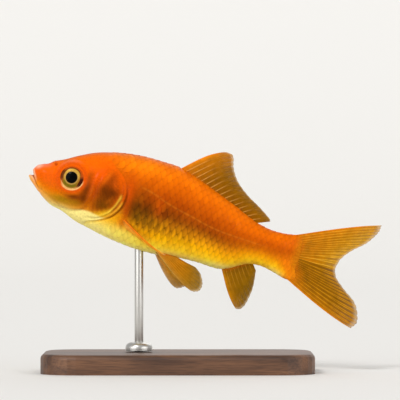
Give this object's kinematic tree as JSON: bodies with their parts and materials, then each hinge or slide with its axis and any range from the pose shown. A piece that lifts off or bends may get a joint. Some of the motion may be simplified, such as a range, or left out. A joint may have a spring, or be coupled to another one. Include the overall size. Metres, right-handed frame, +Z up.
{
  "type": "goldfish model on a display stand",
  "caption": "Life-size common goldfish, orange with a yellow belly, climbing gently with fins trailing, held by a slim rod on a flat wooden base.",
  "frame": {"origin": "centre of the underside of the stand's base", "axes": "+X towards the tail, -Y to the fish's left side, +Z up; the fish is pitched 18 degrees nose up"},
  "size_m": [0.0879, 0.036, 0.0551],
  "materials": {
    "skin": "wet, scaled skin: bright orange back and flanks, olive-brown clouding behind the gills, golden lower sides and a pale yellow belly, under a clear gloss",
    "fins": "thin, translucent amber membrane between raised, paler rays",
    "eyes": "polished: clear dome over a gold iris with a black pupil",
    "base_wood": "oiled walnut, straight grain, satin",
    "rod_metal": "finely brushed"
  },
  "bodies": {
    "root": {"head": "skin", "lower_jaw": "skin", "gill_cover_left": "skin", "gill_cover_right": "skin", "trunk": "skin", "tail_stalk": "skin", "eye_left": "eyes", "eye_right": "eyes", "dorsal_fin": "fins", "anal_fin": "fins", "tail_fin_upper": "fins", "tail_fin_lower": "fins", "pelvic_fin_left": "fins", "pelvic_fin_right": "fins", "pectoral_fin_left": "fins", "pectoral_fin_right": "fins", "stand_base": "base_wood", "stand_collar": "rod_metal", "stand_rod": "rod_metal"}
  },
  "joints": []
}
